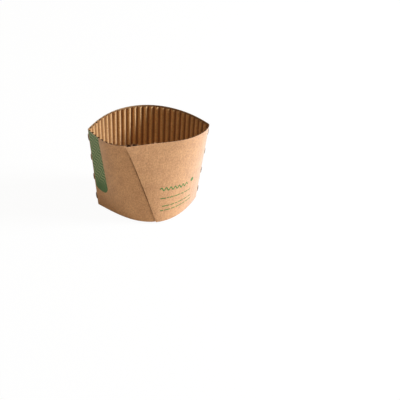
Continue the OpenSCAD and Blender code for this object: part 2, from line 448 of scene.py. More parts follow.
@dataclass
class Mesher:
    """Builds closed sheets of paper from two grids of points."""

    name: str
    # Distance in metres at which points are one, and the angle from which an edge is sharp
    same_point: float = 1e-6
    sharp_from: float = 50.0

    def build(self, outer: Array, inner: Array, cells: Array,
              uv: Array, finishes: list[Material]) -> Piece:
        """Make one closed sheet.

        Args:
            outer: the outer face's points in millimetres, by row and column.
            inner: the inner face's points, in a grid of the same size.
            cells: what each cell of the grid is, as Cell values.
            uv: the flat position of each point in metres.
            finishes: materials for the outer face, the inner face and the cut edges.

        Returns:
            The new object.
        """
        index = np.arange(outer[..., 0].size).reshape(outer.shape[:2])
        paper = cells == Cell.PAPER.value
        a, b = index[:-1, :-1][paper], index[:-1, 1:][paper]
        c, d = index[1:, 1:][paper], index[1:, :-1][paper]
        front = np.stack([a, b, c, d], -1)
        back = np.stack([d, c, b, a], -1) + index.size
        walls = self.walls(index, cells)
        faces = np.vstack([front, back, walls])
        mesh = bpy.data.meshes.new(self.name)
        points = np.vstack([outer.reshape(-1, 3), inner.reshape(-1, 3)]) * MM
        mesh.from_pydata(points.tolist(), [], faces.tolist())
        for finish in finishes:
            mesh.materials.append(finish)
        sides = [np.zeros(len(front)), np.ones(len(back)), np.full(len(walls), 2)]
        mesh.polygons.foreach_set("material_index", np.concatenate(sides).astype(np.int32))
        self.lay_flat(mesh, np.vstack([uv.reshape(-1, 2)] * 2))
        self.clean(mesh)
        piece = bpy.data.objects.new(self.name, mesh)
        bpy.context.scene.collection.objects.link(piece)
        return piece

    @staticmethod
    def walls(index: Array, cells: Array) -> Array:
        """Close the sheet wherever paper ends.

        Args:
            index: the number of each point of the outer face, which the inner face's follow.
            cells: what each cell of the grid is, as Cell values.

        Returns:
            The quads, each by its four points.
        """
        state = np.pad(cells, 1, constant_values=Cell.OPEN.value)
        paper, void = Cell.PAPER.value, Cell.OPEN.value
        quads = []
        for here, there, first, second in (
                (state[1:-1, 1:], state[1:-1, :-1], index[:-1, :], index[1:, :]),
                (state[1:-1, :-1], state[1:-1, 1:], index[1:, :], index[:-1, :]),
                (state[1:, 1:-1], state[:-1, 1:-1], index[:, 1:], index[:, :-1]),
                (state[:-1, 1:-1], state[1:, 1:-1], index[:, :-1], index[:, 1:])):
            edge = (here == paper) & (there == void)
            p, q = first[edge], second[edge]
            quads.append(np.stack([p, q, q + index.size, p + index.size], -1))
        return np.vstack(quads)

    @staticmethod
    def lay_flat(mesh: bpy.types.Mesh, uv: Array) -> None:
        """Store each point's flat position as its texture position.

        Args:
            mesh: the sheet's mesh.
            uv: the flat position of each point in metres.
        """
        layer = mesh.uv_layers.new(name=BLANK_UV)
        corner = np.empty(len(mesh.loops), dtype=np.int32)
        mesh.loops.foreach_get("vertex_index", corner)
        layer.data.foreach_set("uv", uv[corner].astype(np.float32).ravel())

    def clean(self, mesh: bpy.types.Mesh) -> None:
        """Join points that coincide, drop loose ones, and round the faces but not the cuts.

        Args:
            mesh: the sheet's mesh.
        """
        work = bmesh.new()
        work.from_mesh(mesh)
        bmesh.ops.remove_doubles(work, verts=work.verts, dist=self.same_point)
        bmesh.ops.delete(work, geom=[v for v in work.verts if not v.link_faces], context="VERTS")
        bmesh.ops.recalc_face_normals(work, faces=work.faces)
        work.to_mesh(mesh)
        work.free()
        mesh.shade_smooth()
        mesh.set_sharp_from_angle(angle=math.radians(self.sharp_from))


def add_node(tree: Tree, kind: str, settings: dict | None = None,
             inputs: dict | None = None) -> bpy.types.Node:
    """Add a node with its settings, values and links.

    Args:
        tree: the node tree.
        kind: the node's type.
        settings: properties of the node.
        inputs: a value or an output socket for each input, by name or number.

    Returns:
        The new node.
    """
    node = tree.nodes.new(kind)
    for name, value in (settings or {}).items():
        setattr(node, name, value)
    for key, value in (inputs or {}).items():
        if isinstance(value, Socket):
            tree.links.new(value, node.inputs[key])
        else:
            node.inputs[key].default_value = value
    return node


def new_material(name: str) -> tuple[Material, Tree]:
    """Start a material.

    Args:
        name: the material's name.

    Returns:
        The empty material and its node tree.
    """
    material = bpy.data.materials.new(name)
    material.use_nodes = True
    material.node_tree.nodes.clear()
    return material, material.node_tree


def blank_mm(tree: Tree) -> Socket:
    """Add the flat position on the blank in millimetres, and return it."""
    flat = add_node(tree, "ShaderNodeUVMap", {"uv_map": BLANK_UV})
    return add_node(tree, "ShaderNodeVectorMath", {"operation": "SCALE"},
                    {0: flat.outputs[0], "Scale": 1 / MM}).outputs[0]


@dataclass(frozen=True)
class KraftPaper:
    """Unbleached kraft paper, pressed on a paper machine.

    Its long fibres lie mostly one way, which gives the eye a fine mottle with short pale and
    dark streaks, under a faint and very broad sheen.
    """

    name: str
    pale: str
    deep: str
    fleck: str
    # Real sizes in millimetres: clouds of formation, fibre clumps, and fibres' width and length.
    # Fibres are drawn about ten times as wide as real ones, so that they show.
    cloud: float = 7.0
    clump: float = 1.4
    fibre_w: float = 0.35
    fibre_l: float = 2.2
    # How rough the noise is, and how much the clouds count beside the finer grain
    noise: float = 0.6
    cloud_share: float = 0.5
    contrast: float = 1.6
    # Spacing of the flecks of bark, their inner and outer radius in shares of it, and how much
    # they cover the paper's colour
    fleck_gap: float = 2.6
    fleck_r: tuple[float, float] = (0.05, 0.12)
    fleck_share: float = 0.55
    # Of cellulose, whose surface scatters light broadly
    ior: float = 1.45
    roughness: float = 0.6
    shine: float = 0.8
    # Loose fibres on the face, which glow pale where light and eye both skim it
    fuzz: float = 0.55
    fuzz_roughness: float = 0.4
    # Height of the fibres on the face, and the share of it that the light shows
    fibre_h: float = 0.03
    relief_share: float = 0.6

    def grain(self, tree: Tree) -> tuple[Socket, Socket]:
        """Add the paper's grain.

        Args:
            tree: the node tree.

        Returns:
            The grain as a share from deep to pale, and the fibres for the relief.
        """
        in_mm = blank_mm(tree)
        combed = add_node(tree, "ShaderNodeMapping", None,
                          {"Vector": in_mm,
                           "Scale": (1 / self.fibre_w, 1 / self.fibre_l, 1.0)}).outputs[0]
        clouds, clumps, fibres = (
            add_node(tree, "ShaderNodeTexNoise", {"noise_dimensions": "2D"},
                     {"Vector": place, "Scale": scale, "Detail": detail, "Roughness": self.noise})
            for place, scale, detail in ((in_mm, 1 / self.cloud, 2.0),
                                         (in_mm, 1 / self.clump, 3.0), (combed, 1.0, 2.0)))
        near = add_node(tree, "ShaderNodeMath", {"operation": "ADD"},
                        {0: clumps.outputs[0], 1: fibres.outputs[0]})
        both = add_node(tree, "ShaderNodeMath", {"operation": "MULTIPLY_ADD"},
                        {0: clouds.outputs[0], 1: self.cloud_share, 2: near.outputs[0]})
        # Each noise is 0.5 on average
        middle, spread = 0.5 * (self.cloud_share + 2), 0.5 / self.contrast
        share = add_node(tree, "ShaderNodeMapRange", None,
                         {0: both.outputs[0], 1: middle - spread, 2: middle + spread})
        return share.outputs[0], near.outputs[0]

    def colour(self, tree: Tree, share: Socket) -> Socket:
        """Add the paper's colour, with dark flecks of bark.

        Args:
            tree: the node tree.
            share: the grain, from deep to pale.

        Returns:
            The colour.
        """
        body = add_node(tree, "ShaderNodeMix", {"data_type": "RGBA"},
                        {0: share, 6: linear(self.deep), 7: linear(self.pale)})
        spots = add_node(tree, "ShaderNodeTexVoronoi", {"voronoi_dimensions": "2D"},
                         {"Vector": blank_mm(tree), "Scale": 1 / self.fleck_gap})
        near = add_node(tree, "ShaderNodeMapRange", None,
                        {0: spots.outputs["Distance"], 1: self.fleck_r[0], 2: self.fleck_r[1],
                         3: self.fleck_share, 4: 0.0})
        flecked = add_node(tree, "ShaderNodeMix", {"data_type": "RGBA"},
                           {0: near.outputs[0], 6: body.outputs[2], 7: linear(self.fleck)})
        return flecked.outputs[2]

    def finish(self, tree: Tree, colour: Socket,
               relief: Socket) -> None:
        """Add the shader, its relief and the output.

        Args:
            tree: the node tree.
            colour: the face's colour.
            relief: the height of the fibres, as a share.
        """
        bump = add_node(tree, "ShaderNodeBump", None,
                        {"Strength": self.relief_share, "Distance": self.fibre_h * MM,
                         "Height": relief})
        shader = add_node(tree, "ShaderNodeBsdfPrincipled", None,
                          {"Base Color": colour, "Roughness": self.roughness, "IOR": self.ior,
                           "Specular IOR Level": self.shine, "Sheen Weight": self.fuzz,
                           "Sheen Roughness": self.fuzz_roughness, "Normal": bump.outputs[0]})
        add_node(tree, "ShaderNodeOutputMaterial", None, {0: shader.outputs[0]})

    def make(self) -> Material:
        """Return the finished material."""
        material, tree = new_material(self.name)
        share, relief = self.grain(tree)
        self.finish(tree, self.colour(tree, share), relief)
        return material


@dataclass(frozen=True)
class FlutingPaper(KraftPaper):
    """Thin kraft paper, pressed into flutes and glued at the bottom of each.

    Its colour is darker along the valleys, where it is glued to the liner: painted shade in
    the valleys between pale ridges.
    """

    # Colour of the painted shade in the valleys, and how much of it shows
    valley_shade_colour: str = "#8c5c32"
    valley_shade_share: float = 0.9
    # Cosine of the wave where the painted valley shade begins, and where it is darkest
    valley_shade_edge: tuple[float, float] = (-0.5, 0.9)
    # Spacing of the valleys in millimetres, their direction and their offset
    pitch: float = 4.4
    lean: float = 1.0
    offset: float = 0.0

    def colour(self, tree: Tree, share: Socket) -> Socket:
        """Add the paper's colour, with painted shade along the valleys.

        Args:
            tree: the node tree.
            share: the grain, from deep to pale.

        Returns:
            The colour.
        """
        a = math.radians(self.lean)
        turns = math.tau / self.pitch
        across = add_node(tree, "ShaderNodeVectorMath", {"operation": "DOT_PRODUCT"},
                          {0: blank_mm(tree), 1: (turns * math.cos(a), turns * math.sin(a), 0.0)})
        phase = add_node(tree, "ShaderNodeMath", {"operation": "ADD"},
                         {0: across.outputs["Value"], 1: self.offset * turns})
        wave = add_node(tree, "ShaderNodeMath", {"operation": "COSINE"}, {0: phase.outputs[0]})
        # Painted shade in the valleys, where the flutes are glued to the liner
        glued = add_node(tree, "ShaderNodeMapRange", {"interpolation_type": "SMOOTHSTEP"},
                         {0: wave.outputs[0], 1: self.valley_shade_edge[0], 2: self.valley_shade_edge[1],
                          3: 0.0, 4: self.valley_shade_share})
        dark = add_node(tree, "ShaderNodeMix", {"data_type": "RGBA"},
                        {0: glued.outputs[0], 6: super().colour(tree, share),
                         7: linear(self.valley_shade_colour)})
        return dark.outputs[2]


@dataclass(frozen=True)
class FlexoInk:
    """Water-based green ink, printed by a soft relief plate on kraft paper.

    The paper's grain shows through it, so it looks chalky. Fine pale lines are left unprinted
    in it.
    """

    name: str
    ink: str
    thin_ink: str
    paper: KraftPaper
    # Spacing and width in millimetres of the pale lines, the softness of their edges, the size
    # of their waves, and their slant in degrees. They are coarser than a plate's, so as to show.
    line_pitch: float = 3.3
    line_w: float = 1.0
    line_soft: float = 0.15
    wave_h: float = 1.0
    wave_l: float = 6.0
    slant: float = 48.0
    # Height above the base from which the lines begin, half the distance over which they do, and
    # how pale they are
    lines_from: float = 21.0
    lines_ramp: float = 4.0
    line_share: float = 0.0
    pale_line: str = "#a7a875"

    def pale_lines(self, tree: Tree) -> Socket:
        """Add plain waved lines.

        Args:
            tree: the node tree.

        Returns:
            How pale each place is.
        """
        in_mm = blank_mm(tree)
        turned = add_node(tree, "ShaderNodeMapping", None,
                          {"Vector": in_mm, "Rotation": (0.0, 0.0, math.radians(self.slant))})
        part = add_node(tree, "ShaderNodeSeparateXYZ", None, {0: turned.outputs[0]})
        phase = add_node(tree, "ShaderNodeMath", {"operation": "MULTIPLY"},
                         {0: part.outputs[1], 1: math.tau / self.wave_l})
        wave = add_node(tree, "ShaderNodeMath", {"operation": "SINE"}, {0: phase.outputs[0]})
        moved = add_node(tree, "ShaderNodeMath", {"operation": "MULTIPLY_ADD"},
                         {0: wave.outputs[0], 1: self.wave_h, 2: part.outputs[0]})
        lane = add_node(tree, "ShaderNodeMath", {"operation": "PINGPONG"},
                        {0: moved.outputs[0], 1: self.line_pitch / 2})
        line = add_node(tree, "ShaderNodeMapRange", None,
                        {0: lane.outputs[0], 1: self.line_w / 2 - self.line_soft,
                         2: self.line_w / 2 + self.line_soft, 3: self.line_share, 4: 0.0})
        upright = add_node(tree, "ShaderNodeSeparateXYZ", None, {0: in_mm})
        started = add_node(tree, "ShaderNodeMapRange", None,
                           {0: upright.outputs[1], 1: self.lines_from - self.lines_ramp,
                            2: self.lines_from + self.lines_ramp})
        shown = add_node(tree, "ShaderNodeMath", {"operation": "MULTIPLY"},
                         {0: line.outputs[0], 1: started.outputs[0]})
        return shown.outputs[0]

    def make(self) -> Material:
        """Return the finished material."""
        material, tree = new_material(self.name)
        share, relief = self.paper.grain(tree)
        body = add_node(tree, "ShaderNodeMix", {"data_type": "RGBA"},
                        {0: share, 6: linear(self.ink), 7: linear(self.thin_ink)})
        lined = add_node(tree, "ShaderNodeMix", {"data_type": "RGBA"},
                         {0: self.pale_lines(tree), 6: body.outputs[2],
                          7: linear(self.pale_line)})
        self.paper.finish(tree, lined.outputs[2], relief)
        return material


# Smoothed on one side by the machine: warm brown, and pale where the light skims it
LINER_PAPER = KraftPaper("kraft_liner_paper", pale="#d39b62", deep="#b17945", fleck="#84603c",
                         roughness=0.75, shine=1.0, fuzz=0.9)
# Thinner and rougher, with a softer mottle
MEDIUM_PAPER = FlutingPaper("kraft_fluting_paper", pale="#e6b87e", deep="#c39159",
                            fleck="#8d683f", cloud=5.0, contrast=1.1, roughness=0.7, shine=0.4,
                            fuzz=0.2)
# Cut edges, darker than the faces as painted shade, so that the lit rim shows no light line
CUT_LINER = KraftPaper("cut_liner_edge", pale="#8f6c48", deep="#755535", fleck="#66482c",
                       cloud=2.0, clump=0.5)
CUT_MEDIUM = KraftPaper("cut_fluting_edge", pale="#7b5836", deep="#634527", fleck="#50361e",
                        cloud=2.0, clump=0.5, shine=0.2, fuzz=0.0)
# Painted shade: the faces seen only inside the flutes' openings are darker, so the openings look
# dark
INNER_SHADE_PAPER = KraftPaper("inner_liner_painted_shade", pale="#bd9163", deep="#9e764b", fleck="#785636",
                         roughness=0.8, shine=0.3, fuzz=0.2)
# The fluting's hidden face, darker still as painted shade inside the tunnels
HIDDEN_SHADE_PAPER = KraftPaper("hidden_face_painted_shade", pale="#80593a", deep="#66452a", fleck="#4a311c",
                         shine=0.2, fuzz=0.0)
# The plate presses loose fibres down, so the ink is duller than the bare liner
PRINTED_PAPER = replace(LINER_PAPER, fuzz=0.2, shine=0.4)
BAND_INK = FlexoInk("green_band_ink", ink="#4d7042", thin_ink="#5f7d52", paper=PRINTED_PAPER,
                    pale_line="#b0b485", line_share=0.9)
SMALL_INK = FlexoInk("green_small_ink", ink="#487034", thin_ink="#5f8444", paper=PRINTED_PAPER)


@dataclass
class LinerSheet:
    """The smooth outer paper, from its covered end round to the seam."""

    loop: Loop
    board: Board
    slots: Slots
    # Rows of the grid, and the distance between its columns
    rows: int = 96
    spacing: float = 0.95
    # Distances of the close columns from a fold
    near_fold: tuple[float, ...] = (0.0, 0.22, 0.45, 0.7, 1.0, 1.4, 1.9, 2.5)
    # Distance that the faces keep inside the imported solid
    inset: float = 0.05
    # Torn nick on the rim: distance from the left fold's line, width, height, how broad its top
    # is from 1 for a point, and the share of the height that its inner side has
    nick_at: float = 61.5
    nick_w: float = 1.1
    nick_h: float = 1.55
    nick_shape: float = 1.25
    nick_inner: float = 0.9
    # Extra depth of the covered end just before the free edge, and over which it dips
    tuck: float = 0.4
    tuck_w: float = 1.5
    # Distances that the rim lies lower on the covered end and on the free one, the distance from
    # the fold over which the free one drops, and the share of the height that follows
    lap_drop: float = 1.4
    free_drop: float = 0.38
    free_drop_w: float = 6.0
    drop_share: float = 0.2
    # Height of the slow waves that handling leaves in the board, how many go into a panel, how
    # much they shift up the panel, and the distance from a fold over which they grow
    bow: float = 0.1
    bows: float = 0.9
    bow_shift: float = 3.1
    bow_reach: float = 15.0
    # Distance from a fold over which the flutes begin to show through
    ripple_reach: float = 6.0
    # Distance that the seam's free edge lifts, over which it does, and the share of the height
    # over which the lift begins
    seam_lift: float = 0.35
    seam_lift_w: float = 9.0
    seam_lift_h: float = 0.4
    # The same for the free corner at the rim, and how sharply it curls
    corner_lift: float = 0.65
    corner_w: float = 4.0
    corner_power: float = 1.5

    def sunk(self, t: Array, v: Array) -> Array:
        """Return the depth of the covered end below the panel.

        Args:
            t: the places along the strip.
            v: the heights.

        Returns:
            The depths, which are 0 away from the lap.
        """
        past = self.loop.past_seam(t, v)
        slope = self.board.lap_step * smooth(past / self.board.sink_w + 1)
        return slope + self.tuck * smooth(past / self.tuck_w + 1)

    def openness(self, v: Array) -> Array:
        """Return how open the folds are at a height."""
        return self.slots.openness(v * self.loop.panel_h, self.loop.panel_h)

    def relief(self, t: Array, v: Array) -> Array:
        """Return the depth of the outer face below the plain panel.

        Args:
            t: the places along the strip.
            v: the heights.

        Returns:
            The depths, which are below 0 where the face stands out.
        """
        loop, board, slots = self.loop, self.board, self.slots
        near = loop.fold_gap(t, v)
        is_open = self.openness(v)
        most = np.where((t > 0) & (t < 1), slots.back_flare, 0.0)
        flare = most * is_open * np.exp(-(near / slots.flare_reach) ** 2)
        crease = slots.crease * (1 - is_open) * np.exp(-(near / slots.crease_reach) ** 2)
        flute = loop.blank_point(t, v) @ board.across / board.pitch
        ripple = board.show_through * (1 - np.cos(math.tau * flute))
        ripple *= smooth(near / self.ripple_reach)
        seam_gap = (loop.end(v) - t) * loop.panel_w(v)
        lift = self.seam_lift * np.clip(1 - seam_gap / self.seam_lift_w, 0, 1) ** 2
        lift *= smooth(v / self.seam_lift_h)
        corner = np.hypot(seam_gap, (1 - v) * loop.panel_h) / self.corner_w
        lift += self.corner_lift * np.clip(1 - corner, 0, 1) ** self.corner_power
        waves = (1 + np.sin(self.bows * t * math.tau + self.bow_shift * v)) * np.sin(math.pi * v)
        bow = self.bow * waves * smooth(near / self.bow_reach)
        return self.inset + crease - flare + ripple - lift + bow

    def face(self, t: Array, v: Array, depth: float) -> Array:
        """Return points at a depth below the liner's outer face."""
        return self.loop.at_depth(t, v, depth + self.sunk(t, v) + self.relief(t, v))

    def shares(self, length: float, near_both: bool) -> Array:
        """Return the columns of one panel part.

        Args:
            length: the part's length in millimetres.
            near_both: whether its other end is a fold too.

        Returns:
            The columns, as shares from the fold to the other end.
        """
        near = np.array(self.near_fold) / length
        last = near[::-1] if near_both else np.array([0.0])
        start, stop = near[-1], 1 - last[0]
        between = np.linspace(start, stop, int((stop - start) * length / self.spacing) + 2)
        return np.unique(np.round(np.concatenate([near, between, 1 - last]), 6))

    def columns(self, v: Array) -> tuple[Array, list[int]]:
        """Return the place t of each column at each row, and the columns left of each fold.

        Args:
            v: the height of each row.

        Returns:
            The places, by row and column, and the number of the last column before each fold.
        """
        loop = self.loop
        left = self.shares(loop.rim_seam_at + loop.overlap_w, False)[::-1]
        back = self.shares(loop.rim_panel_w, True)
        right_w = loop.rim_panel_w - loop.rim_seam_at
        tears = np.array([-0.5, -0.3, -0.05, 0.25, 0.5]) * self.nick_w
        nick = (loop.rim_panel_w - self.nick_at + tears) / right_w
        right = np.unique(np.concatenate([self.shares(right_w, False), nick]))
        t = np.concatenate([
            loop.start(v)[:, None] * left,
            np.broadcast_to(back, (len(v), len(back))),
            1 + (loop.end(v)[:, None] - 1) * right], axis=1)
        return t, [len(left) - 1, len(left) + len(back) - 1]

    def spread_slots(self, t: Array, v: Array, folds: list[int]) -> Array:
        """Move the two sides of each fold apart at the slots.

        Args:
            t: the places along the strip.
            v: the heights.
            folds: the number of the last column before each fold.

        Returns:
            The moved places.
        """
        moved = t.copy()
        open_w = self.openness(v) / self.loop.panel_w(v)
        for place, column in zip((0.0, 1.0), folds):
            side = np.where(np.arange(t.shape[1]) <= column, -1.0, 1.0)
            gap = np.abs(t - place)
            push = self.slots.cut_w(place + side / 2) * open_w
            push *= np.exp(-gap * self.loop.panel_w(v) / self.slots.spread_reach)
            moved += np.where(gap < self.slots.spread_most, side * push, 0.0)
        return moved

    def build(self, finishes: list[Material]) -> Piece:
        """Build the liner.

        Args:
            finishes: materials for the outer face, the inner face and the cut edges.

        Returns:
            The new object.
        """
        heights = np.linspace(0, 1, self.rows + 1)
        t, folds = self.columns(heights)
        v = np.broadcast_to(heights[:, None], t.shape)
        v = v - self.rim_drop(t, v) / self.loop.panel_h
        spread = self.spread_slots(t, v, folds)
        outer, inner = (self.face(spread, v, depth) for depth in (0.0, self.board.liner_t))
        self.tear_nick(t, outer, inner)
        cells = np.full((self.rows, t.shape[1] - 1), Cell.PAPER.value)
        is_open = self.openness(heights) > 0
        for column in folds:
            slot_rows = is_open[:-1] | is_open[1:]
            cells[:, column] = np.where(slot_rows, Cell.OPEN.value, Cell.JOINED.value)
        uv = self.loop.blank_uv(t, v)
        return Mesher("smooth_liner").build(outer, inner, cells, uv, finishes)

    def rim_drop(self, t: Array, v: Array) -> Array:
        """Return how much lower the paper lies near the rim of the front panel.

        Args:
            t: the places along the strip.
            v: the heights.

        Returns:
            The drops in millimetres.
        """
        beyond = (t - 1) * self.loop.panel_w(v)
        drop = self.lap_drop * smooth(self.loop.past_seam(t, v) / self.tuck_w)
        drop += self.free_drop * smooth(beyond / self.free_drop_w)
        return drop * smooth((v - (1 - self.drop_share)) / self.drop_share)

    def tear_nick(self, t: Array, outer: Array, inner: Array) -> None:
        """Raise the rim into a small torn nick.

        Args:
            t: the places along the strip.
            outer: the outer face's points, which are changed.
            inner: the inner face's points, which are changed.
        """
        at = np.abs((2 - t[-1]) * self.loop.rim_panel_w - self.nick_at) / (self.nick_w / 2)
        rise = self.nick_h * np.clip(self.nick_shape - at, 0, 1) * (t[-1] > 1)
        outer[-1, :, 2] += rise
        inner[-1, :, 2] += rise * self.nick_inner


@dataclass
class FlutedSheet:
    """The fluted paper glued to the inside of the liner."""

    liner: LinerSheet
    # Columns of the grid in each flute, its rows, and the shortest column that is kept
    columns_per_flute: int = 12
    rows: int = 48
    shortest: float = 1.0
    # Distances from the liner's rim down to the cut edge of the flutes: on the left half, on
    # the right half, where the photo shows no cut flutes, and on the covered end
    left_rim_gap: float = 0.1
    right_rim_gap: float = 0.8
    lap_rim_gap: float = 2.2
    # Place t where the left half's gap begins to grow into the right half's, and over how much
    rim_gap_from: float = 0.34
    rim_gap_over: float = 0.12
    # Size of the gap that a fold tears in the flutes at the rim
    burst_w: float = 1.3
    burst_h: float = 3.0
    # Start of the random draws that make the flutes uneven
    seed: int = 7

    def spans(self, x: Array) -> tuple[Array, Array]:
        """Return where each flute line enters and leaves the blank.

        Args:
            x: the distance of each line from the blank's far point, across the flutes.

        Returns:
            The two places along each line.
        """
        loop, board = self.liner.loop, self.liner.board
        first = np.sqrt(loop.base_r ** 2 - x ** 2)
        place = np.arcsin(x / loop.rim_r) / loop.blank_angle + 0.5
        rightward = smooth((place - self.rim_gap_from) / self.rim_gap_over)
        rim_gap = mix(self.left_rim_gap, self.right_rim_gap, rightward)
        rim_gap = np.where(place < -loop.seam_share(1.0), self.lap_rim_gap, rim_gap)
        last = np.sqrt((loop.rim_r - rim_gap) ** 2 - x ** 2)
        for cut, inner_side in ((loop.start, 1), (loop.end, -1)):
            base, rim = loop.blank_point(cut(0.0), 0.0), loop.blank_point(cut(1.0), 1.0)
            edge = rim - base
            offset = board.across * x[:, None] - base
            turn = edge[0] * board.along[1] - edge[1] * board.along[0]
            crossing = (offset[:, 0] * edge[1] - offset[:, 1] * edge[0]) / turn
            if turn * inner_side < 0:
                first = np.maximum(first, crossing)
            else:
                last = np.minimum(last, crossing)
        return first, last

    def height(self, t: Array, v: Array) -> Array:
        """Return the height of the flutes with their paper.

        Args:
            t: the places along the strip.
            v: the heights above the base.

        Returns:
            The flutes' heights.
        """
        loop, board = self.liner.loop, self.liner.board
        lap_past = (loop.start(v) + 2 - t) * loop.panel_w(v) - board.lap_crush_w
        fold_past = loop.fold_gap(t, v) - board.fold_flat_w
        full = np.minimum(smooth(fold_past / board.fold_crush_w),
                          smooth(lap_past / board.fold_crush_w))
        return mix(board.crushed_h, board.flute_h, full)

    def base_depth(self, t: Array, v: Array) -> Array:
        """Return the depth of the flutes' base below the panel.

        Args:
            t: the places along the strip.
            v: the heights.

        Returns:
            The depths.
        """
        board = self.liner.board
        crushed = 1 - smooth(self.liner.loop.fold_gap(t, v) / board.fold_crush_w)
        return self.liner.sunk(t, v) + board.liner_t + board.glue_t + board.nose_inset * crushed

    def build(self, finishes: list[Material]) -> Piece:
        """Build the fluted paper.

        Args:
            finishes: materials for the hidden face, the face toward the cup and the cut edges.

        Returns:
            The new object.
        """
        loop, board = self.liner.loop, self.liner.board
        step = board.pitch / self.columns_per_flute
        corners = [loop.blank_point(end(h), h) @ board.across
                   for end in (loop.start, loop.end) for h in (0.0, 1.0)]
        number = np.arange(math.ceil(min(corners) / step), math.floor(max(corners) / step) + 1)
        first, last = self.spans(number * step)
        keep = last - first > self.shortest
        number, first, last = number[keep], first[keep], last[keep]
        share = np.linspace(0, 1, self.rows + 1)[:, None]
        along = mix(first, last, share)
        x = np.broadcast_to(number * step, along.shape)
        flat = x[..., None] * board.across + along[..., None] * board.along
        t, v = loop.place_on_blank(flat)
        wave, tall = self.wave(x, along)
        lift = wave * (self.height(t, v) * tall - board.medium_t)
        base = self.base_depth(t, v)
        outer = loop.at_depth(t, v, base + lift)
        inner = loop.at_depth(t, v, base + lift + board.medium_t)
        uv = loop.blank_uv(t, v)
        return Mesher("fluted_medium").build(outer, inner, self.cells(t, v), uv, finishes)

    def wave(self, x: Array, along: Array) -> tuple[Array, Array]:
        """Return the wave of the flutes.

        Args:
            x: the distance of each point from the blank's far point, across the flutes.
            along: its distance along them.

        Returns:
            The wave from 0 to 1, and how tall each flute is beside the plain one.
        """
        board = self.liner.board
        flute = np.floor(x / board.pitch).astype(int)
        rng = np.random.default_rng(self.seed)
        table = rng.uniform(-1, 1, (4, flute.max() - flute.min() + 1))
        own = table[:, flute - flute.min()]
        # Each flute has its own lengths and starts of wander and dents
        wander = board.wander * np.sin(along / (board.wander_l + 2 * own[0]) + 6 * own[1])
        moved = x + wander * np.sin(math.pi * x / board.pitch) ** 2
        wave = np.tanh(board.steep * (board.broad - np.cos(math.tau * moved / board.pitch)))
        low, high = (math.tanh(board.steep * (board.broad + k)) for k in (-1, 1))
        dents = board.dent * np.sin(along / (board.dent_l + own[3]) + 5 * own[2])
        return (wave - low) / (high - low), 1 - board.uneven * (1 + own[2] + dents)

    def cells(self, t: Array, v: Array) -> Array:
        """Return the cells of the grid, open at the slots and where a fold tears the flutes.

        Args:
            t: the places of the grid's points along the strip.
            v: their heights.

        Returns:
            The Cell values.
        """
        loop, slots = self.liner.loop, self.liner.slots
        tc = (t[:-1, :-1] + t[1:, 1:]) / 2
        vc = (v[:-1, :-1] + v[1:, 1:]) / 2
        gap = loop.fold_gap(tc, vc)
        is_slot = (gap < slots.cut_w(tc)) & (self.liner.openness(vc) > 0)
        is_burst = (gap < self.burst_w) & ((1 - vc) * loop.panel_h < self.burst_h)
        return np.where(is_slot | is_burst, Cell.OPEN.value, Cell.PAPER.value)


@dataclass
class PrintedField:
    """A field of ink on the liner, as a very thin layer."""

    liner: LinerSheet
    name: str
    # Thickness of the ink, drawn thicker than real so that it stays clear, its distance from
    # the paper, and the size of its grid
    thickness: float = 0.05
    lift: float = 0.01
    grid: float = 0.7

    def build(self, t: Array, v: Array, finish: Material) -> Piece:
        """Build the field over a grid of places.

        Args:
            t: the places along the strip.
            v: the heights.
            finish: the ink.

        Returns:
            The new object.
        """
        outer = self.liner.face(t, v, -self.lift - self.thickness)
        inner = self.liner.face(t, v, -self.lift)
        cells = np.full((t.shape[0] - 1, t.shape[1] - 1), Cell.PAPER.value)
        uv = self.liner.loop.blank_uv(t, v)
        return Mesher(self.name).build(outer, inner, cells, uv, [finish] * 3)


@dataclass
class GreenBand(PrintedField):
    """The wide printed band beside the left fold."""

    width: float = 14.0
    # Distance from the left fold
    gap: float = 1.4
    # Lower end: height of its lowest point above the base, how much higher it lies toward the
    # fold and toward the seam, the lowest point's place across the width, and the curve's power
    base_at: float = 15.0
    fold_rise: float = 2.5
    seam_rise: float = 5.0
    tip_at: float = 0.6
    end_power: float = 2.5

    def lower_end(self, across: Array) -> Array:
        """Return the height of the band's lower end.

        Args:
            across: shares of the band's width from the fold.

        Returns:
            The heights v.
        """
        past = np.where(across < self.tip_at, 1 - across / self.tip_at,
                        (across - self.tip_at) / (1 - self.tip_at))
        rise = np.where(across < self.tip_at, self.fold_rise, self.seam_rise)
        return (self.base_at + rise * past ** self.end_power) / self.liner.loop.panel_h

    def make(self, finish: Material) -> Piece:
        """Build the band.

        Args:
            finish: the ink.

        Returns:
            The new object.
        """
        across = np.linspace(1, 0, int(self.width / self.grid) + 1)
        share = np.linspace(0, 1, int(self.liner.loop.panel_h / self.grid) + 1)[:, None]
        v = mix(self.lower_end(across), 1.0, share)
        t = -(self.gap + self.width * across) / self.liner.loop.panel_w(v)
        return self.build(t, v, finish)


@dataclass(frozen=True)
class Rule:
    """A broken line: ends in millimetres from the right fold and above the base, and dashes."""

    start: tuple[float, float]
    stop: tuple[float, float]
    dashes: tuple[float, ...]


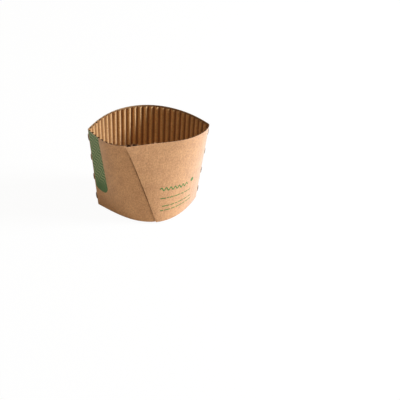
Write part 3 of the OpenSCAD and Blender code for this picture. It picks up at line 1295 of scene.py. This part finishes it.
@dataclass
class SmallPrint(PrintedField):
    """A plain wavy line, a dot and broken lines, in the place of small print."""

    grid: float = 0.35
    # Width of the broken lines, and the space between their dashes
    stroke: float = 0.7
    space: float = 0.9
    # The wavy line's ends, stroke, height to each side, and wavelength
    wave_start: tuple[float, float] = (48.8, 26.9)
    wave_stop: tuple[float, float] = (23.2, 24.4)
    wave_stroke: float = 0.85
    wave_h: float = 1.15
    wave_l: float = 3.9
    dot_at: tuple[float, float] = (17.8, 25.6)
    dot_w: float = 3.4
    # The dot as a ribbon: degrees cut off at both ends, where it would have no width, and steps
    dot_cut: float = 4.0
    dot_steps: int = 24
    rules: tuple[Rule, ...] = (
        Rule((48.4, 19.2), (18.5, 17.4), (4.5, 1.5, 3.5, 6.0, 2.5, 3.5, 3.0)),
        Rule((46.5, 12.6), (17.0, 11.2), (6.0, 3.5, 2.0, 5.0, 4.5, 3.0)),
        Rule((47.9, 9.1), (16.0, 8.1), (2.5, 5.0, 3.5, 6.5, 2.5, 3.5, 2.5)),
    )

    def make(self, finish: Material) -> Piece:
        """Build all marks as one piece.

        Args:
            finish: the ink.

        Returns:
            The new object.
        """
        parts = [self.wave(finish), self.dot(finish)]
        for rule in self.rules:
            parts += self.broken_line(rule, finish)
        work = bmesh.new()
        for part in parts:
            work.from_mesh(part.data)
        work.to_mesh(parts[0].data)
        work.free()
        for part in parts[1:]:
            bpy.data.meshes.remove(part.data)
        parts[0].name = self.name
        return parts[0]

    def ribbon(self, gap: Array, height: Array, width: Array,
               finish: Material) -> Piece:
        """Build a line of ink along a path.

        Args:
            gap: distances of the path from the right fold in millimetres.
            height: its heights above the base.
            width: its width at each place.
            finish: the ink.

        Returns:
            The new object.
        """
        along = unit(np.stack([np.gradient(gap), np.gradient(height)]), axis=0)
        side = np.array([0.5, 0.0, -0.5])[:, None] * width
        v = (height + along[0] * side) / self.liner.loop.panel_h
        t = 1 + (gap - along[1] * side) / self.liner.loop.panel_w(v)
        return self.build(t, v, finish)

    def wave(self, finish: Material) -> Piece:
        """Build the wavy line.

        Args:
            finish: the ink.

        Returns:
            The new object.
        """
        length = math.dist(self.wave_start, self.wave_stop)
        share = np.linspace(0, 1, int(2 * length / self.grid))
        rise = self.wave_h * np.sin(math.tau * share * length / self.wave_l)
        gap = mix(self.wave_start[0], self.wave_stop[0], share)
        height = mix(self.wave_start[1], self.wave_stop[1], share) + rise
        return self.ribbon(gap, height, np.full_like(gap, self.wave_stroke), finish)

    def dot(self, finish: Material) -> Piece:
        """Build the round dot.

        Args:
            finish: the ink.

        Returns:
            The new object.
        """
        turn = np.radians(np.linspace(self.dot_cut, 180 - self.dot_cut, self.dot_steps))
        gap = self.dot_at[0] + self.dot_w / 2 * np.cos(turn)
        height = np.full_like(gap, self.dot_at[1])
        return self.ribbon(gap, height, self.dot_w * np.sin(turn), finish)

    def broken_line(self, rule: Rule, finish: Material) -> list[Piece]:
        """Build the dashes of one broken line.

        Args:
            rule: the line's ends and dashes.
            finish: the ink.

        Returns:
            The new objects.
        """
        total = sum(rule.dashes) + self.space * (len(rule.dashes) - 1)
        begin, pieces = 0.0, []
        for dash in rule.dashes:
            share = np.linspace(begin, begin + dash, int(dash / self.grid) + 2) / total
            gap = mix(rule.start[0], rule.stop[0], share)
            height = mix(rule.start[1], rule.stop[1], share)
            pieces.append(self.ribbon(gap, height, np.full_like(gap, self.stroke), finish))
            begin += dash + self.space
        return pieces


@dataclass
class Studio:
    """A white table in soft light, seen as the photograph sees it."""

    # Camera place in millimetres, and its heading, pitch and roll in degrees
    camera_at: tuple[float, float, float] = (-89.0, -632.0, 436.5)
    heading: float = 11.67
    pitch: float = 34.29
    roll: float = 3.49
    # Lens and sensor in millimetres, and the nearest distance that is seen in metres
    lens: float = 90.0
    sensor: float = 36.0
    nearest: float = 0.01
    # The table: its size in metres, its colour, and the share of plain white that the camera
    # sees on it beside its own shade
    table_size: float = 6.0
    table_colour: str = "#f3eee4"
    table_white: float = 0.95
    # Light of the ceiling, where plain white is 1, and its warm colour, as of a lamplit room
    ceiling_level: float = 0.57
    ceiling_colour: str = "#fff1dc"
    # Heights on the unit sphere at which the ceiling begins and is in full light
    ceiling_from: float = 0.1
    ceiling_full: float = 0.7
    # The lamp: degrees round from +X toward +Y and above the table, distance and width in
    # metres, height in metres of the place that it faces, the brightness that a white card
    # facing it would have, and its cool colour, as of daylight
    lamp_azimuth: float = -6.5
    lamp_elevation: float = 30.0
    lamp_distance: float = 1.3
    lamp_w: float = 0.42
    lamp_aim: float = 0.03
    lamp_level: float = 1.89
    lamp_colour: str = "#dfecff"

    def camera(self) -> None:
        """Place the camera."""
        heading, pitch, roll = (math.radians(a) for a in (self.heading, self.pitch, self.roll))
        ahead = Vector((math.sin(heading) * math.cos(pitch), math.cos(heading) * math.cos(pitch),
                        -math.sin(pitch)))
        right = Vector((math.cos(heading), -math.sin(heading), 0.0))
        up = right.cross(ahead)
        turned_right = right * math.cos(roll) + up * math.sin(roll)
        turned_up = up * math.cos(roll) - right * math.sin(roll)
        data = bpy.data.cameras.new("camera")
        data.lens = self.lens
        data.sensor_width = self.sensor
        data.clip_start = self.nearest
        camera = bpy.data.objects.new("camera", data)
        turn = Matrix((turned_right, turned_up, -ahead)).transposed()
        camera.matrix_world = Matrix.Translation(Vector(self.camera_at) * MM) @ turn.to_4x4()
        bpy.context.scene.collection.objects.link(camera)
        bpy.context.scene.camera = camera

    def lamp(self) -> None:
        """Place a soft lamp that faces the sleeve."""
        data = bpy.data.lights.new("soft_box", "AREA")
        data.shape = "DISK"
        data.size = self.lamp_w
        data.energy = self.lamp_level * (math.pi * self.lamp_distance) ** 2
        data.color = linear(self.lamp_colour)[:3]
        lamp = bpy.data.objects.new("soft_box", data)
        a, e = math.radians(self.lamp_azimuth), math.radians(self.lamp_elevation)
        toward = Vector((math.cos(a) * math.cos(e), math.sin(a) * math.cos(e), math.sin(e)))
        lamp.location = toward * self.lamp_distance + Vector((0, 0, self.lamp_aim))
        lamp.rotation_euler = toward.to_track_quat("Z", "Y").to_euler()
        lamp.visible_camera = False
        bpy.context.scene.collection.objects.link(lamp)

    def table(self) -> None:
        """Lay a pale table that keeps the sleeve's shadow."""
        half = self.table_size / 2
        mesh = bpy.data.meshes.new("table")
        corners = [(-half, -half, 0), (half, -half, 0), (half, half, 0), (-half, half, 0)]
        mesh.from_pydata(corners, [], [(0, 1, 2, 3)])
        table = bpy.data.objects.new("table", mesh)
        bpy.context.scene.collection.objects.link(table)
        material, tree = new_material("pale_table")
        path = add_node(tree, "ShaderNodeLightPath")
        card = add_node(tree, "ShaderNodeBsdfDiffuse", None, {"Color": linear(self.table_colour)})
        white = add_node(tree, "ShaderNodeEmission", None, {"Color": linear(WHITE)})
        share = add_node(tree, "ShaderNodeMath", {"operation": "MULTIPLY"},
                         {0: path.outputs["Is Camera Ray"], 1: self.table_white})
        both = add_node(tree, "ShaderNodeMixShader", None,
                        {0: share.outputs[0], 1: card.outputs[0], 2: white.outputs[0]})
        add_node(tree, "ShaderNodeOutputMaterial", None, {0: both.outputs[0]})
        mesh.materials.append(material)

    def world(self) -> None:
        """Hang a dim pale ceiling over the table, with plain white where the camera looks."""
        world = bpy.data.worlds.new("room")
        bpy.context.scene.world = world
        world.use_nodes = True
        tree = world.node_tree
        tree.nodes.clear()
        way = add_node(tree, "ShaderNodeTexCoord")
        part = add_node(tree, "ShaderNodeSeparateXYZ", None, {0: way.outputs["Generated"]})
        level = add_node(tree, "ShaderNodeMapRange", None,
                         {0: part.outputs[2], 1: self.ceiling_from, 2: self.ceiling_full,
                          3: 0.0, 4: self.ceiling_level})
        path = add_node(tree, "ShaderNodeLightPath")
        seen = add_node(tree, "ShaderNodeMapRange", None,
                        {0: path.outputs["Is Camera Ray"], 3: level.outputs[0], 4: 1.0})
        tone = add_node(tree, "ShaderNodeMix", {"data_type": "RGBA"},
                        {0: path.outputs["Is Camera Ray"], 6: linear(self.ceiling_colour),
                         7: linear(WHITE)})
        sky = add_node(tree, "ShaderNodeBackground", None,
                       {"Color": tone.outputs[2], "Strength": seen.outputs[0]})
        add_node(tree, "ShaderNodeOutputWorld", None, {0: sky.outputs[0]})

    def build(self) -> None:
        """Build the whole studio."""
        self.camera()
        self.table()
        self.world()
        self.lamp()


def report(piece: Piece, node: str | None) -> None:
    """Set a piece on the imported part's body and log it.

    Args:
        piece: the new piece.
        node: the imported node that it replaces, if any.
    """
    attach(piece, BODY)
    if node:
        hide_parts(node)
    LOG.info("%s: %d faces, in place of %s", piece.name, len(piece.data.polygons), node)


def main() -> None:
    """Build the sleeve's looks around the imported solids."""
    logging.basicConfig(level=logging.INFO, format="%(name)s: %(message)s")
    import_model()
    bpy.context.scene.view_settings.view_transform = "Standard"

    loop, board, slots = Loop(), Board(), Slots()
    liner = LinerSheet(loop, board, slots)
    loop.fit_to(*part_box("liner"))

    # Flutes are counted from the blank's far point, and the flat position from its base
    offset = loop.base_r * board.across[1]
    medium = replace(MEDIUM_PAPER, pitch=board.pitch, lean=board.lean, offset=offset)
    medium_faces = [HIDDEN_SHADE_PAPER.make(), medium.make(), CUT_MEDIUM.make()]
    liner_faces = [LINER_PAPER.make(), INNER_SHADE_PAPER.make(), CUT_LINER.make()]
    report(liner.build(liner_faces), "liner")
    report(FlutedSheet(liner).build(medium_faces), "fluting")
    report(GreenBand(liner, "green_band").make(BAND_INK.make()), "print_band")
    report(SmallPrint(liner, "small_print").make(SMALL_INK.make()), None)

    Studio().build()


if __name__ == "__main__":
    main()
